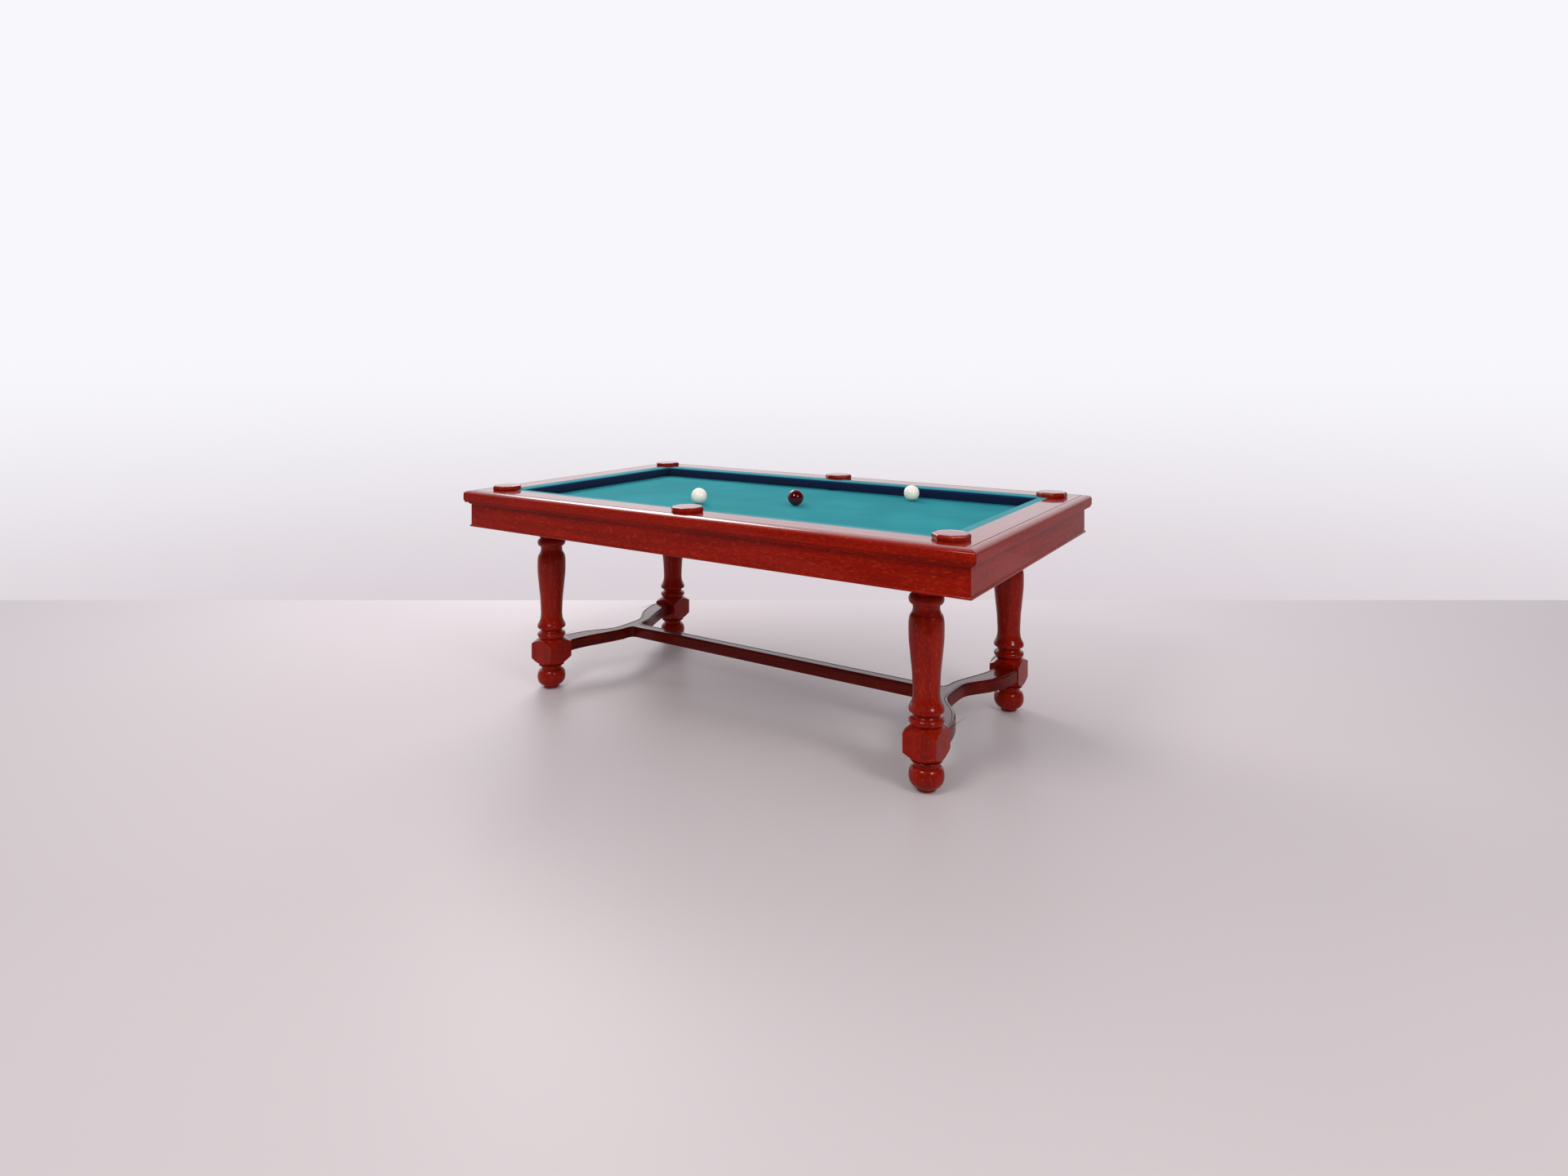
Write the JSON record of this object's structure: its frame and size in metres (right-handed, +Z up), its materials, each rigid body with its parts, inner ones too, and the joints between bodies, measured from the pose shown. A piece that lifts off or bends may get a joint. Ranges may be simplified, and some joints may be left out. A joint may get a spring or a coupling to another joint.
{
  "type": "carom billiard table",
  "caption": "Small carom billiard table at dining height: cloth-covered slate bed, mitred wood rails, turned legs with curved stretchers, and lift-out octagonal plugs over the pockets.",
  "frame": {"origin": "on the floor, under the centre of the bed", "axes": "+X along the length of the table, +Y across it towards the back, +Z up"},
  "size_m": [2.13, 1.23, 0.818],
  "materials": {
    "rail_wood": "gloss",
    "turned_wood": "gloss",
    "frame_wood": "matte",
    "slate": "matte",
    "billiard_cloth": "matte",
    "cushion_cloth": "matte",
    "pocket_leather": "satin",
    "bolt_steel": "satin",
    "pad_felt": "matte",
    "ball_white": "polished",
    "ball_red": "polished"
  },
  "bodies": {
    "table": {"leg_front_left": "turned_wood", "leg_front_right": "turned_wood", "leg_back_left": "turned_wood", "leg_back_right": "turned_wood", "foot_pad_front_left": "pad_felt", "foot_pad_front_right": "pad_felt", "foot_pad_back_left": "pad_felt", "foot_pad_back_right": "pad_felt", "leg_bolt_front_left": "bolt_steel", "leg_bolt_front_right": "bolt_steel", "leg_bolt_back_left": "bolt_steel", "leg_bolt_back_right": "bolt_steel", "yoke_stretcher_left": "turned_wood", "yoke_stretcher_right": "turned_wood", "long_stretcher": "turned_wood", "long_beam_front": "frame_wood", "long_beam_back": "frame_wood", "cross_bearer_1": "frame_wood", "cross_bearer_2": "frame_wood", "cross_bearer_3": "frame_wood", "cross_bearer_4": "frame_wood", "apron_front": "rail_wood", "apron_right": "rail_wood", "apron_back": "rail_wood", "apron_left": "rail_wood", "slate_left": "slate", "slate_middle": "slate", "slate_right": "slate", "bed_cloth": "billiard_cloth", "rail_front": "rail_wood", "rail_right": "rail_wood", "rail_back": "rail_wood", "rail_left": "rail_wood", "cushion_front_left": "cushion_cloth", "cushion_front_right": "cushion_cloth", "cushion_back_left": "cushion_cloth", "cushion_back_right": "cushion_cloth", "cushion_left": "cushion_cloth", "cushion_right": "cushion_cloth", "pocket_cup_front_left": "pocket_leather", "pocket_cup_front_middle": "pocket_leather", "pocket_cup_front_right": "pocket_leather", "pocket_cup_back_left": "pocket_leather", "pocket_cup_back_middle": "pocket_leather", "pocket_cup_back_right": "pocket_leather"},
    "plug_front_left": {"plug_cap_front_left": "rail_wood", "plug_insert_front_left": "cushion_cloth"},
    "plug_front_middle": {"plug_cap_front_middle": "rail_wood", "plug_insert_front_middle": "cushion_cloth"},
    "plug_front_right": {"plug_cap_front_right": "rail_wood", "plug_insert_front_right": "cushion_cloth"},
    "plug_back_left": {"plug_cap_back_left": "rail_wood", "plug_insert_back_left": "cushion_cloth"},
    "plug_back_middle": {"plug_cap_back_middle": "rail_wood", "plug_insert_back_middle": "cushion_cloth"},
    "plug_back_right": {"plug_cap_back_right": "rail_wood", "plug_insert_back_right": "cushion_cloth"},
    "white_ball_left": {"ball_white_left": "ball_white"},
    "white_ball_right": {"ball_white_right": "ball_white"},
    "red_ball": {"ball_red": "ball_red"}
  },
  "joints": [
    {"name": "plug_front_left_lift", "type": "slide", "parent": "table", "child": "plug_front_left", "axis": [0, 0, 1], "range_m": [0, 0.1]},
    {"name": "plug_front_middle_lift", "type": "slide", "parent": "table", "child": "plug_front_middle", "axis": [0, 0, 1], "range_m": [0, 0.1]},
    {"name": "plug_front_right_lift", "type": "slide", "parent": "table", "child": "plug_front_right", "axis": [0, 0, 1], "range_m": [0, 0.1]},
    {"name": "plug_back_left_lift", "type": "slide", "parent": "table", "child": "plug_back_left", "axis": [0, 0, 1], "range_m": [0, 0.1]},
    {"name": "plug_back_middle_lift", "type": "slide", "parent": "table", "child": "plug_back_middle", "axis": [0, 0, 1], "range_m": [0, 0.1]},
    {"name": "plug_back_right_lift", "type": "slide", "parent": "table", "child": "plug_back_right", "axis": [0, 0, 1], "range_m": [0, 0.1]},
    {"name": "white_ball_left_travel", "type": "slide", "parent": "table", "child": "white_ball_left", "axis": [1, 0, 0], "range_m": [-0.622, 1.113]},
    {"name": "white_ball_right_travel", "type": "slide", "parent": "table", "child": "white_ball_right", "axis": [1, 0, 0], "range_m": [-1.287, 0.448]},
    {"name": "red_ball_travel", "type": "slide", "parent": "table", "child": "red_ball", "axis": [1, 0, 0], "range_m": [-0.961, 0.774]}
  ]
}
